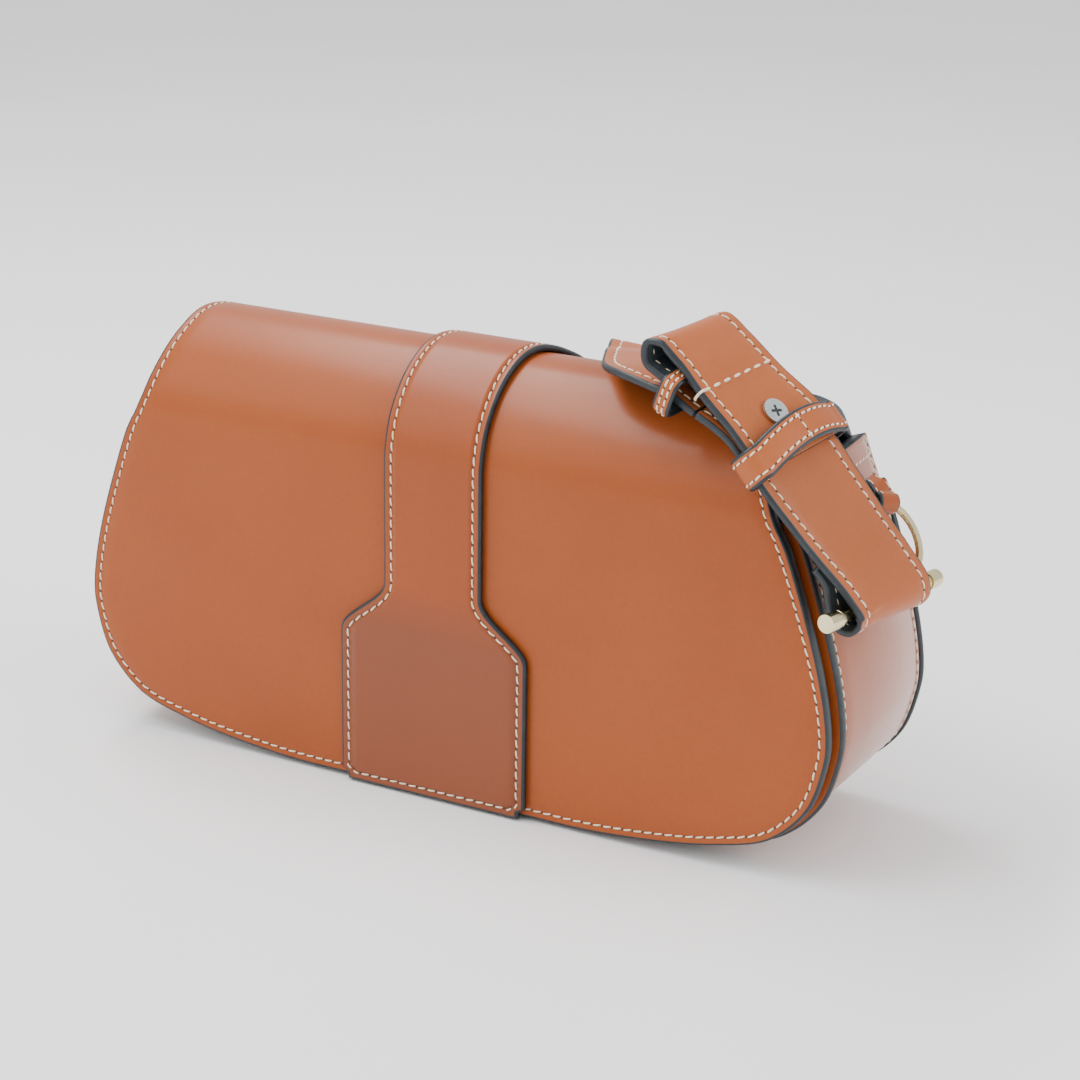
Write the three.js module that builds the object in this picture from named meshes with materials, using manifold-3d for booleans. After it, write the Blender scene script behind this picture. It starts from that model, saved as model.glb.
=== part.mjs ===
// Small flap bag with a shoulder strap: stiff leather panels sewn to a three-piece gusset,
// a domed flap with a stitched centre tab, and a strap hung from toggle bars and rings.
// Millimetres. +Z is up, +Y points to the back, +X to the wearer's right as the front is seen.
// The origin is the middle of the base, on the plane that the bag stands on.
import * as THREE from 'three';
import { mergeVertices } from 'three/addons/utils/BufferGeometryUtils.js';
import Module from 'manifold-3d';

const wasm = await Module();
wasm.setup();

// ---- Driving dimensions -------------------------------------------------------------------
const FACE_Y = -36;            // outer face of the flap's front
const HEM_Z = 1;               // height of the flap's lowest edge above the base plane
const DEPTH = 70.2;            // flap's face to the back panel's outer face
const LEATHER = 2.4;           // thickness of one leather panel
const LINING = 0.8;            // thickness of a suede lining
const GAP = 0.3;               // clearance between neighbouring pieces
const SEAM = 2.0;              // how far the panels' edges stand out past the gusset
const PANEL_GROW = 1.5;        // the body's outline is this much larger than the flap's
const BODY_FRONT = 6.5;        // depth of the front panel's outer face behind the flap's face
const MOUTH_HEIGHT = 105;      // height of the front panel's top edge
const BACK_HEIGHT = 99;        // height where the back panel meets the flap's rear bend
const GUSSET_HEIGHT = 112;     // height of the side gussets' free top ends
const STRAP_WIDTH = 35;
const STRAP_THICK = 2.2;
const BAR_RADIUS = 1.9;
const KNOB_RADIUS = 2.6;
const KNOB_LENGTH = 5;
const RING_RADIUS = 11.1;
const WIRE_RADIUS = 1.15;
const TAB_HALF = 4.2;         // half-width of the leather tab that holds a ring
const EYE_RADIUS = 4.2;
const SNAP_RADIUS = 9;
const TAB_NARROW = 16.4;       // half-widths of the flap's centre tab
const TAB_WIDE = 31.6;
const TAB_THICK = 2.0;

// A place given by its depth behind the flap's face and its height above the flap's hem.
const at = (x, depth, height) => new THREE.Vector3(x, FACE_Y + depth, HEM_Z + height);
const vec = (x, y, z) => new THREE.Vector3(x, y, z);

// ---- Materials ----------------------------------------------------------------------------
const leather = (color) => new THREE.MeshStandardMaterial({ color, roughness: 0.38, metalness: 0 });
const tan = () => leather('#b3653c');
const suede = () => new THREE.MeshStandardMaterial({ color: '#2c3136', roughness: 0.9, metalness: 0 });
const brass = () => new THREE.MeshStandardMaterial({ color: '#b8a66a', roughness: 0.25, metalness: 1 });
const steel = () => new THREE.MeshStandardMaterial({ color: '#a8b4b4', roughness: 0.35, metalness: 1 });

// ---- Building closed bodies ----------------------------------------------------------------
// Joins equal rings of points into one closed body. Each ring is listed so that the faces
// between rings point out; the two end rings are closed with fans.
function loft(rings, closed = false) {
  const n = rings[0].length;
  const positions = rings.flat().flatMap((p) => [p.x, p.y, p.z]);
  const index = [];
  const spans = closed ? rings.length : rings.length - 1;
  for (let i = 0; i < spans; i++) {
    const a = i * n;
    const b = ((i + 1) % rings.length) * n;
    for (let j = 0; j < n; j++) {
      const k = (j + 1) % n;
      index.push(a + j, b + j, b + k, a + j, b + k, a + k);
    }
  }
  if (!closed) {
    const last = (rings.length - 1) * n;
    for (let j = 1; j < n - 1; j++) {
      index.push(0, j, j + 1);
      index.push(last, last + j + 1, last + j);
    }
  }
  const geometry = new THREE.BufferGeometry();
  geometry.setAttribute('position', new THREE.Float32BufferAttribute(positions, 3));
  geometry.setIndex(index);
  return volume(geometry) < 0 ? flipped(geometry) : geometry;
}

function volume(geometry) {
  const p = geometry.attributes.position;
  const index = geometry.index.array;
  const corner = (i) => new THREE.Vector3().fromBufferAttribute(p, index[i]);
  let sum = 0;
  for (let i = 0; i < index.length; i += 3) {
    sum += corner(i).dot(corner(i + 1).cross(corner(i + 2)));
  }
  return sum / 6;
}

function flipped(geometry) {
  const index = geometry.index.array;
  for (let i = 0; i < index.length; i += 3) {
    [index[i + 1], index[i + 2]] = [index[i + 2], index[i + 1]];
  }
  return geometry;
}

function bare(geometry) {
  const copy = geometry.clone();
  copy.deleteAttribute('normal');
  copy.deleteAttribute('uv');
  return copy;
}

function solid(geometry) {
  const merged = mergeVertices(bare(geometry), 1e-4);
  return new wasm.Manifold(new wasm.Mesh({
    numProp: 3,
    vertProperties: new Float32Array(merged.attributes.position.array),
    triVerts: new Uint32Array(merged.index.array),
  }));
}

function fromSolid(manifold) {
  const mesh = manifold.getMesh();
  const geometry = new THREE.BufferGeometry();
  geometry.setAttribute('position', new THREE.BufferAttribute(mesh.vertProperties, 3));
  geometry.setIndex(new THREE.BufferAttribute(mesh.triVerts, 1));
  return geometry;
}

const join = (parts) => fromSolid(parts.map(solid).reduce((a, b) => a.add(b)));
const cut = (body, tool) => fromSolid(solid(body).subtract(solid(tool)));

// A cylinder whose axis runs from one point to another.
function rod(from, to, radius, sides = 20) {
  const axis = to.clone().sub(from);
  const geometry = new THREE.CylinderGeometry(radius, radius, axis.length(), sides);
  const turn = new THREE.Quaternion().setFromUnitVectors(vec(0, 1, 0), axis.clone().normalize());
  geometry.applyQuaternion(turn);
  const middle = from.clone().add(to).multiplyScalar(0.5);
  return geometry.translate(middle.x, middle.y, middle.z);
}

// A torus with a given centre and axis.
function hoop(centre, axis, radius, wire, sides = 10, steps = 36) {
  const geometry = new THREE.TorusGeometry(radius, wire, sides, steps);
  geometry.applyQuaternion(new THREE.Quaternion().setFromUnitVectors(vec(0, 0, 1), axis));
  return geometry.translate(centre.x, centre.y, centre.z);
}

// A flat strip that follows a route. Each stop gives the middle of the strip's upper face and
// the direction of its width; `from` and `to` keep one stretch of the route.
function strip(stops, { width = STRAP_WIDTH, thick = STRAP_THICK, from = 0, to = 1, steps = 40 } = {}) {
  const route = new THREE.CatmullRomCurve3(stops.map((s) => s.place), false, 'centripetal');
  const across = new THREE.CatmullRomCurve3(stops.map((s) => s.across), false, 'centripetal');
  const rings = [];
  for (let i = 0; i <= steps; i++) {
    const t = THREE.MathUtils.lerp(from, to, i / steps);
    const along = route.getTangent(t);
    const side = across.getPoint(t);
    side.addScaledVector(along, -side.dot(along)).normalize();
    const up = along.clone().cross(side).normalize();
    const top = route.getPoint(t);
    const half = side.clone().multiplyScalar(width / 2);
    const under = top.clone().addScaledVector(up, -thick);
    rings.push([top.clone().sub(half), top.clone().add(half), under.clone().add(half), under.clone().sub(half)]);
  }
  return loft(rings);
}

// ---- The bag's outline, seen from the front -------------------------------------------------
// Right half of the flap's edge, from the bottom up: half-width and height above the hem.
const outline = new THREE.SplineCurve([
  [0, 0], [28, 0], [52, 0.2], [75, 2.3], [92, 5.3], [108, 10.4], [119.5, 21.5],
  [124.4, 35.5], [124.9, 47], [121.3, 65], [113.5, 89], [104.2, 113], [102.2, 124],
].map(([x, z]) => new THREE.Vector2(x, z)));
const OUTLINE_STEPS = 64;

// Points of the outline grown outward, from the bottom's middle up to a height.
function edgePoints(grow, top, base = 0) {
  const points = [];
  for (let i = 0; i <= OUTLINE_STEPS; i++) {
    const t = i / OUTLINE_STEPS;
    const p = outline.getPoint(t);
    const along = outline.getTangent(t);
    const x = p.x + along.y * grow;
    const z = Math.max(p.y + HEM_Z - along.x * grow, base);
    if (z >= top) {
      const low = points.at(-1);
      const share = (top - low.z) / (z - low.z);
      points.push({ x: low.x + (x - low.x) * share, z: top });
      break;
    }
    points.push({ x, z });
  }
  return points;
}

// A flat panel in the XZ plane: rows across from the outline's left half to its right half.
function panel(grow, top, y0, y1, base = 0) {
  const rows = edgePoints(grow, top, base).filter((p, i) => i > 0 && p.x > 1);
  const kept = rows.filter((p, i) => i === 0 || p.z > rows[i - 1].z + 0.02 || p.z >= top);
  return loft(kept.map(({ x, z }) => [vec(-x, y0, z), vec(x, y0, z), vec(x, y1, z), vec(-x, y1, z)]));
}

// ---- The flap's profile, seen from the side -------------------------------------------------
// Depth and height of the outer surface, from the front face over the top to the back panel.
const dome = new THREE.SplineCurve([
  [0, 100], [0.5, 106.5], [3.2, 115], [9.5, 123.4], [18, 129], [27, 131.2], [37, 130.2],
  [49, 126], [60, 120.3], [67, 112.4], [69.9, 103.5], [70.2, 98],
].map(([y, z]) => new THREE.Vector2(y, z)));
const HINGE_T = 0.235;         // where along the dome the flap's free part bends
const FLAP_SPLIT = 0.004;      // half the split between the flap's two lengths, as a share of the dome
const TAB_SPLIT = 0.014;       // the tab lies further out, so its split is wider

// Half-width of the flap on the dome.
function domeHalfWidth(t) {
  const flare = 9.6 * Math.pow(Math.max(1 - t / 0.36, 0), 1.6);
  return 99.4 + flare + 7 * THREE.MathUtils.smoothstep(t, 0.88, 1);
}

// Rows of the dome's sheet between two places on the profile.
function domeRows(t0, t1, steps, halfWidth, rise, thick) {
  const rows = [];
  for (let i = 0; i <= steps; i++) {
    const t = THREE.MathUtils.lerp(t0, t1, i / steps);
    const p = dome.getPoint(t);
    const along = dome.getTangent(t);
    const out = new THREE.Vector2(-along.y, along.x);
    const w = halfWidth(t);
    const top = p.clone().addScaledVector(out, rise);
    const under = top.clone().addScaledVector(out, -thick);
    rows.push([at(-w, top.x, top.y), at(w, top.x, top.y), at(w, under.x, under.y), at(-w, under.x, under.y)]);
  }
  return rows;
}

// Rows of the flap's flat front, from the hem up to where the dome starts.
function frontRows(grow, rise, thick, top) {
  const rows = edgePoints(grow, top + HEM_Z, HEM_Z - grow).filter((p, i) => i > 0 && p.x > 1);
  const kept = rows.filter((p, i) => i === 0 || p.z > rows[i - 1].z + 0.02);
  const y0 = FACE_Y - rise;
  const y1 = y0 + thick;
  return kept.map(({ x, z }) => [vec(-x, y0, z), vec(x, y0, z), vec(x, y1, z), vec(-x, y1, z)]);
}

// Half-width of the centre tab at a height on the flap's face.
function tabHalfWidth(height) {
  const shoulder = THREE.MathUtils.smoothstep(height, 48, 65);
  return THREE.MathUtils.lerp(TAB_WIDE, TAB_NARROW, shoulder);
}

const meshes = [];
function add(name, geometry, material) {
  geometry.computeVertexNormals();
  const mesh = new THREE.Mesh(geometry, material);
  mesh.name = name;
  meshes.push(mesh);
}

// ---- Body: panels, gussets and linings ------------------------------------------------------
const bodyFront = FACE_Y + BODY_FRONT;
const bodyBack = FACE_Y + DEPTH;
const gussetFront = bodyFront + LEATHER + GAP;
const gussetBack = bodyBack - LEATHER - GAP;
add('front_panel', panel(PANEL_GROW, MOUTH_HEIGHT, bodyFront, bodyFront + LEATHER), tan());
add('back_panel', panel(PANEL_GROW, BACK_HEIGHT, bodyBack - LEATHER, bodyBack), tan());

// The gusset strip runs round the outline between the panels, in three sewn lengths.
const BASE_END = 0.44;         // share of the outline's points that belongs to the base
function gussetRing(p, q, mirror, y0, y1, bulge) {
  const away = new THREE.Vector2(q.z - p.z, p.x - q.x).normalize();
  const section = [];
  const outer = [[y0, 0], [(y0 + y1) / 2, bulge], [y1, 0]];
  for (const [y, b] of outer) {
    section.push(vec(mirror * (p.x + away.x * b), y, p.z + away.y * b));
  }
  for (const [y, b] of outer.reverse()) {
    const inner = b - LEATHER;
    section.push(vec(mirror * (p.x + away.x * inner), y, p.z + away.y * inner));
  }
  return section;
}

function sideGusset(mirror) {
  const points = edgePoints(PANEL_GROW - SEAM, GUSSET_HEIGHT + HEM_Z, SEAM);
  const first = Math.round(points.length * BASE_END);
  const rings = [];
  for (let i = first; i < points.length; i++) {
    const q = points[Math.min(i + 1, points.length - 1)];
    const p = points[i];
    const before = points[i - 1];
    const bulge = 3 * THREE.MathUtils.smoothstep(p.z, 12, 60);
    const ring = i < points.length - 1 ? gussetRing(p, q, mirror, gussetFront, gussetBack, bulge)
      : gussetRing(p, { x: 2 * p.x - before.x, z: 2 * p.z - before.z }, mirror, gussetFront, gussetBack, bulge);
    rings.push(ring);
  }
  return loft(rings);
}

function baseGusset() {
  const half = edgePoints(PANEL_GROW, GUSSET_HEIGHT, 0);
  const last = Math.round(edgePoints(PANEL_GROW - SEAM, GUSSET_HEIGHT + HEM_Z, SEAM).length * BASE_END) - 1;
  const right = half.slice(0, last);
  const all = [...right.slice(1).reverse().map(({ x, z }) => ({ x: -x, z })), ...right.slice(1)];
  return loft(all.map(({ x, z }) => [
    vec(x, gussetFront, z), vec(x, gussetBack, z), vec(x, gussetBack, z + LEATHER), vec(x, gussetFront, z + LEATHER),
  ]));
}
add('base_gusset', baseGusset(), tan());
add('right_gusset', sideGusset(1), tan());
add('left_gusset', sideGusset(-1), tan());

const liningInset = PANEL_GROW - SEAM - LEATHER - 2;
const frontLiningY = gussetFront + 1.2;
const backLiningY = gussetBack - LINING;
add('front_lining', panel(liningInset, 100, frontLiningY, frontLiningY + LINING, 6), suede());
add('back_lining', panel(liningInset, 97, backLiningY, backLiningY + LINING, 6), suede());

// A slip pocket sewn to the back lining: a shallow tray, open at the top.
const POCKET = { half: 62, low: 26, high: 82, deep: 8.4, wall: 1.4 };
function innerPocket() {
  const y1 = backLiningY - GAP;
  const y0 = y1 - POCKET.deep;
  const tall = POCKET.high - POCKET.low;
  const tray = new THREE.BoxGeometry(2 * POCKET.half, POCKET.deep, tall);
  tray.translate(0, (y0 + y1) / 2, (POCKET.high + POCKET.low) / 2);
  const room = new THREE.BoxGeometry(2 * (POCKET.half - POCKET.wall), POCKET.deep - 2 * POCKET.wall, tall);
  room.translate(0, (y0 + y1) / 2, (POCKET.high + POCKET.low) / 2 + POCKET.wall);
  return cut(tray, room);
}
add('inner_pocket', innerPocket(), suede());

// ---- Flap ------------------------------------------------------------------------------------
const FRONT_TOP = 100;         // height where the flap's flat front meets the dome
function flapFront(grow, rise, thick, inset) {
  const rows = frontRows(grow, rise, thick, FRONT_TOP - 2);
  const width = (t) => domeHalfWidth(t) + grow - inset;
  return loft([...rows, ...domeRows(0.01, HINGE_T - FLAP_SPLIT, 9, width, rise, thick)]);
}
add('flap_front', flapFront(0, 0, LEATHER, 0), tan());
add('flap_lining', flapFront(-0.6, -LEATHER - GAP, LINING, 0), suede());
add('flap_top', loft(domeRows(HINGE_T + FLAP_SPLIT, 0.992, 30, domeHalfWidth, 0, LEATHER)), tan());

// Centre tab: sewn on the flap from the hem, over the dome, to the back.
function tabRows(t0, t1, steps) {
  return domeRows(t0, t1, steps, () => TAB_NARROW, TAB_THICK + GAP, TAB_THICK);
}
function frontTab() {
  const rows = [];
  const steps = 34;
  for (let i = 0; i <= steps; i++) {
    const height = THREE.MathUtils.lerp(-0.4, FRONT_TOP - 2, i / steps);
    const w = tabHalfWidth(height) - 2.2 * (1 - THREE.MathUtils.smoothstep(height, -0.4, 3));
    const y0 = FACE_Y - GAP - TAB_THICK;
    const z = height + HEM_Z;
    rows.push([vec(-w, y0, z), vec(w, y0, z), vec(w, FACE_Y - GAP, z), vec(-w, FACE_Y - GAP, z)]);
  }
  return loft([...rows, ...tabRows(0.01, HINGE_T - TAB_SPLIT, 9)]);
}
add('centre_tab_front', frontTab(), tan());
add('centre_tab_top', loft(tabRows(HINGE_T + TAB_SPLIT, 0.97, 28)), tan());

// Magnetic snap under the tab's wide end: a plate on the flap, a socket and washer on the body.
const SNAP_Z = 24;
const plate = (y0, y1, radius) => rod(vec(0, y0, SNAP_Z), vec(0, y1, SNAP_Z), radius, 32);
const flapInside = FACE_Y + LEATHER + GAP + LINING;
add('snap_plate', plate(flapInside + GAP, flapInside + GAP + 0.9, SNAP_RADIUS), steel());
add('snap_socket', plate(bodyFront - GAP - 1.2, bodyFront - GAP, SNAP_RADIUS), steel());
add('snap_washer', plate(bodyFront + LEATHER + GAP, bodyFront + LEATHER + GAP + 0.9, SNAP_RADIUS), steel());

// ---- Hardware on the gussets -------------------------------------------------------------------
// A ring hangs from a leather tab; its lower end holds the eye of a toggle bar.
function ringSet(side, top, bottom, sideways) {
  const centre = top.clone().add(bottom).multiplyScalar(0.5);
  const down = bottom.clone().sub(top).normalize();
  const wireWay = sideways.clone().addScaledVector(down, -sideways.dot(down)).normalize();
  const axis = down.clone().cross(wireWay).normalize();
  add(`${side}_ring`, hoop(centre, axis, RING_RADIUS, WIRE_RADIUS), brass());
  return wireWay;
}

function ringTab(side, top, wireWay, outward, root) {
  const inner = WIRE_RADIUS + 1.3;
  const outer = inner + 1.5;
  const reach = (length) => wireWay.clone().multiplyScalar(length);
  const sleeve = rod(top.clone().sub(reach(TAB_HALF)), top.clone().add(reach(TAB_HALF)), outer, 20);
  const hole = rod(top.clone().sub(reach(2 * TAB_HALF)), top.clone().add(reach(2 * TAB_HALF)), inner, 20);
  const across = wireWay.clone().multiplyScalar(Math.sign(outward.x));
  const backing = strip([
    { place: root, across },
    { place: top.clone().addScaledVector(outward, -inner).add(vec(0, 0, 2)), across },
  ], { width: 2 * TAB_HALF, thick: 1.5, steps: 4 });
  add(`${side}_ring_tab`, cut(join([sleeve, backing]), hole), tan());
}

// A bar with a knob at each end, and an eye on a short stem that the ring passes through.
function toggleBar(side, from, to, eye, neck, wireWay) {
  const way = to.clone().sub(from).normalize();
  const nearKnob = rod(from, from.clone().addScaledVector(way, KNOB_LENGTH), KNOB_RADIUS, 24);
  const farKnob = rod(to.clone().addScaledVector(way, -KNOB_LENGTH), to, KNOB_RADIUS, 24);
  const inset = KNOB_LENGTH - 1;
  const shaft = rod(from.clone().addScaledVector(way, inset), to.clone().addScaledVector(way, -inset), BAR_RADIUS);
  const stemEnd = eye.clone().lerp(neck, EYE_RADIUS / eye.distanceTo(neck));
  const stem = rod(neck, stemEnd, 1.2, 12);
  add(`${side}_toggle_bar`, join([nearKnob, farKnob, shaft, stem, hoop(eye, wireWay, EYE_RADIUS, 1.1, 8, 24)]), brass());
}

const RIGHT_EYE = at(127.6, 41.3, 80.6);
const RIGHT_TOP = at(117.2, 50, 98);
const BAR_NEAR = at(126.6, -9.5, 82.2);
const BAR_FAR = at(136.6, 44, 80.8);
const rightWire = ringSet('right', RIGHT_TOP, RIGHT_EYE, vec(0.35, 0.9, -0.26));
ringTab('right', RIGHT_TOP, rightWire, vec(1, 0, 0), at(112.2, 50, 104.5));
toggleBar('right', BAR_NEAR, BAR_FAR, RIGHT_EYE, BAR_NEAR.clone().lerp(BAR_FAR, 0.862), rightWire);

// The left toggle bar hangs upright from its ring, with the strap round it.
const LEFT_TOP = at(-118.4, 40, 98);
const LEFT_EYE = at(-128.6, 38, 78.6);
const LEFT_BAR = { x: -135.8, depth: 36, low: 25, high: 78 };
const leftWire = ringSet('left', LEFT_TOP, LEFT_EYE, vec(0, 1, 0));
ringTab('left', LEFT_TOP, leftWire, vec(-1, 0, 0), at(-113.4, 40, 104.5));
toggleBar('left', at(LEFT_BAR.x, LEFT_BAR.depth, LEFT_BAR.low), at(LEFT_BAR.x, LEFT_BAR.depth, LEFT_BAR.high),
  LEFT_EYE, at(LEFT_BAR.x, LEFT_BAR.depth, 69.4), leftWire);

// ---- Strap at the right end ---------------------------------------------------------------------
const stop = (x, depth, height, ax, ay, az) => ({ place: at(x, depth, height), across: vec(ax, ay, az) });
const CLEAR = vec(1.3, 0, 1.3);  // how far the strap's end stands clear of the dome's corner
const raised = (stops) => stops.map(({ place, across }) => ({ place: place.clone().add(CLEAR), across }));

// Stops round a toggle bar: the strap's outer face keeps one distance from the bar's axis.
const WRAP_RADIUS = BAR_RADIUS + STRAP_THICK + 0.9;
const BAR_X = 131.4;
const BAR_HEIGHT = 81.6;
function wrapStops(angles) {
  return angles.map((degrees) => {
    const a = THREE.MathUtils.degToRad(degrees);
    const x = BAR_X + WRAP_RADIUS * Math.cos(a);
    const height = BAR_HEIGHT + WRAP_RADIUS * Math.sin(a);
    return stop(x, 16.2, height, 0.19, 0.98, -0.026);
  });
}

// The hanger wraps the toggle bar: its outer leg climbs to the keeper, its inner leg lies behind.
const hangerStops = [
  ...raised([
    stop(86.2, 9.2, 133.8, 0.2, 0.97, 0.03), stop(92.6, 8.8, 131.4, 0.24, 0.96, 0.05),
    stop(98.7, 8.3, 128.4, 0.28, 0.95, 0.07), stop(103.2, 8.1, 124.4, 0.27, 0.95, 0.09),
    stop(108.3, 8, 118.9, 0.26, 0.95, 0.1), stop(115, 9.4, 110.2, 0.22, 0.97, 0.08),
  ]),
  stop(124, 12.3, 100.9, 0.2, 0.98, 0.04), stop(131.6, 14.9, 90.8, 0.19, 0.98, -0.01),
  ...wrapStops([25, -15, -55, -95, -135, -170]),
  stop(123.6, 14.9, 91.2, 0.19, 0.98, 0), stop(119.6, 13.2, 98, 0.2, 0.97, 0.03),
];

// The adjuster: the strap's doubled end, from beneath round the upper fold and down to the keeper.
const adjusterStops = raised([
  stop(78.6, 10, 138.7, 0.15, 0.98, 0.02), stop(73.4, 10.2, 140.9, 0.14, 0.99, 0.02),
  stop(69.6, 10.3, 144, 0.14, 0.99, 0.02), stop(69.8, 10.3, 149.4, 0.14, 0.99, 0.02),
  stop(74.4, 10.2, 150.8, 0.14, 0.99, 0.02), stop(81, 10, 146.4, 0.15, 0.98, 0.02),
  stop(90.4, 9.1, 138.2, 0.22, 0.97, 0.03), stop(100.1, 8, 131, 0.28, 0.95, 0.06),
  stop(105.4, 7.4, 126.2, 0.28, 0.95, 0.09), stop(109.4, 7.1, 122, 0.26, 0.95, 0.1),
]);
const SCREW_SPOT = at(100.1, 8, 131).add(CLEAR);
const SCREW_AXIS = vec(0.66, -0.245, 0.71).normalize();
const SCREW_RADIUS = 3.8;
const POST_RADIUS = 1.8;
const onScrew = (rise) => SCREW_SPOT.clone().addScaledVector(SCREW_AXIS, rise);
const bore = rod(onScrew(-9), onScrew(9), POST_RADIUS + GAP, 20);
add('hanger_strap', cut(strip(hangerStops, { steps: 60 }), bore), tan());
add('adjuster_strap', cut(strip(adjusterStops, { steps: 56 }), bore), tan());
add('adjuster_screw', join([rod(onScrew(GAP), onScrew(1.2), SCREW_RADIUS, 28), rod(onScrew(-5.4), onScrew(1), POST_RADIUS)]),
  steel());

// A keeper is a closed leather band; `along` is the way the strap runs through it.
function keeper(name, centre, along, across, { inside, height, length, wall }) {
  const side = across.clone().addScaledVector(along, -across.dot(along)).normalize();
  const up = along.clone().cross(side).normalize();
  const outer = rounded(inside / 2 + wall, height / 2 + wall, wall + 0.8);
  outer.holes.push(rounded(inside / 2, height / 2, 0.8));
  const geometry = new THREE.ExtrudeGeometry(outer, { depth: length, bevelEnabled: false, curveSegments: 5 });
  geometry.translate(0, 0, -length / 2);
  geometry.applyMatrix4(new THREE.Matrix4().makeBasis(side, up, side.clone().cross(up)));
  geometry.translate(centre.x, centre.y, centre.z);
  add(name, mergeVertices(bare(geometry), 1e-4), tan());
}

function rounded(x, y, r) {
  const shape = new THREE.Shape();
  shape.moveTo(x, -y + r);
  shape.absarc(x - r, y - r, r, 0, Math.PI / 2);
  shape.absarc(-x + r, y - r, r, Math.PI / 2, Math.PI);
  shape.absarc(-x + r, -y + r, r, Math.PI, 1.5 * Math.PI);
  shape.absarc(x - r, -y + r, r, 1.5 * Math.PI, 2 * Math.PI);
  return shape;
}
keeper('upper_keeper', at(105.3, 7.9, 122.7).add(CLEAR), vec(0.68, -0.02, -0.73).normalize(), vec(0.26, 0.95, 0.1),
  { inside: 36.4, height: 6.2, length: 9.6, wall: 1.4 });
keeper('rear_keeper', at(79, 10.4, 138.2), vec(0.92, -0.06, -0.35).normalize(), vec(0.15, 0.98, 0.02),
  { inside: 40, height: 9.4, length: 5, wall: 1.1 });

// ---- Long strap: over the dome's right end, round the back, to the left toggle bar --------------
const LEFT_STRAP_HEIGHT = 49;
const leftWrap = [180, 225, 270, 315, 350].map((degrees) => {
  const a = THREE.MathUtils.degToRad(degrees);
  const x = LEFT_BAR.x + WRAP_RADIUS * Math.cos(a);
  return stop(x, LEFT_BAR.depth + WRAP_RADIUS * Math.sin(a), LEFT_STRAP_HEIGHT, 0, 0, 1);
});
const longStops = [
  stop(84.6, 9.4, 136.4, -0.2, -0.97, -0.02), stop(80, 10, 138.6, -0.17, -0.98, -0.02),
  stop(73.4, 10.4, 139.8, -0.17, -0.98, -0.01), stop(67, 12.4, 140.4, -0.17, -0.98, 0.02),
  stop(58.5, 28.5, 138, -0.22, -0.96, 0.16), stop(51.5, 43.8, 134.2, -0.29, -0.93, 0.23),
  stop(45, 58.2, 129.4, -0.34, -0.86, 0.39), stop(37.5, 70.6, 119, -0.34, -0.68, 0.65),
  stop(27, 78.6, 108.2, -0.23, -0.54, 0.81), stop(15, 81.6, 98.8, -0.11, -0.37, 0.92),
  stop(0.5, 83, 92, -0.03, -0.2, 0.97), stop(-16, 83.5, 86.5, 0, -0.05, 1), stop(-34, 85, 80, 0, 0, 1),
  stop(-62, 85.5, 69, 0, 0, 1), stop(-90, 83, 58, 0, 0, 1), stop(-114, 79, 51.5, 0, 0, 1),
  stop(-131, 70, 49.4, 0, 0, 1), stop(-139.6, 56, LEFT_STRAP_HEIGHT, 0, 0, 1),
  stop(-141.2, 44, LEFT_STRAP_HEIGHT, 0, 0, 1), ...leftWrap,
  stop(-130.8, 46, LEFT_STRAP_HEIGHT, 0, 0, 1), stop(-132.4, 54, LEFT_STRAP_HEIGHT, 0, 0, 1),
];
const LONG_SPLIT = 0.38;       // share of the route that lies on the dome and moves with the right end
add('strap_lead', strip(longStops, { to: LONG_SPLIT - 0.001, steps: 44 }), tan());
add('strap_rear', strip(longStops, { from: LONG_SPLIT + 0.001, steps: 90 }), tan());

const group = new THREE.Group();
group.add(...meshes);

export default group;
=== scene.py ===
"""Sling bag: leather sheets, straps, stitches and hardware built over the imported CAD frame.
Lengths are millimetres in the maths and metres in the meshes."""
import math
import random

import bmesh
import bpy
import numpy as np
from mathutils import Matrix, Vector


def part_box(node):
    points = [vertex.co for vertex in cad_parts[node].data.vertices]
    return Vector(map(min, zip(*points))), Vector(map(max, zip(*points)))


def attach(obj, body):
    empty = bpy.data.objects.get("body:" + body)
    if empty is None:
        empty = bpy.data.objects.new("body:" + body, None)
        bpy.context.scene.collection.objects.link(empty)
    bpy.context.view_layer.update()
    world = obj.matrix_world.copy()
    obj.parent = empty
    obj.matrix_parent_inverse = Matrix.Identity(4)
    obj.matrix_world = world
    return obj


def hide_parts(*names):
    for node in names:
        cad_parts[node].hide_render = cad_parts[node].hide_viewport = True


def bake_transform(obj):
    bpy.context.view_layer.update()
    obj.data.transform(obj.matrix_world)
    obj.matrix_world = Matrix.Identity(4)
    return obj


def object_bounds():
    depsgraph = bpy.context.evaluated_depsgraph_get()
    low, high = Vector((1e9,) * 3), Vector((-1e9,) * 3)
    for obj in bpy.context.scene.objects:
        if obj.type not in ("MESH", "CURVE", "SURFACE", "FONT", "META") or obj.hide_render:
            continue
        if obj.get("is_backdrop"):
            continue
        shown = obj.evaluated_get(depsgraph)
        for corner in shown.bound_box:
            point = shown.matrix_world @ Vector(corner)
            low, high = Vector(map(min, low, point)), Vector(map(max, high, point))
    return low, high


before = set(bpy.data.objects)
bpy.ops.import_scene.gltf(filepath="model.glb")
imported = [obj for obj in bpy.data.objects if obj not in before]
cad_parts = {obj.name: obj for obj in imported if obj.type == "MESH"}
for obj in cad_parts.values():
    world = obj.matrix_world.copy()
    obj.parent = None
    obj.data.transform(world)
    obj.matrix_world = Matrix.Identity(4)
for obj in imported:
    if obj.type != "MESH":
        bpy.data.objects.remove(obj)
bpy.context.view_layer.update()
random.seed(7)
MM = 0.001

# ---- Driving dimensions, read off the CAD frame ------------------------------------------------


def box_mm(node):
    """A CAD node's box in millimetres."""
    low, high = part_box(node)
    return np.array(low) / MM, np.array(high) / MM


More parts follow.
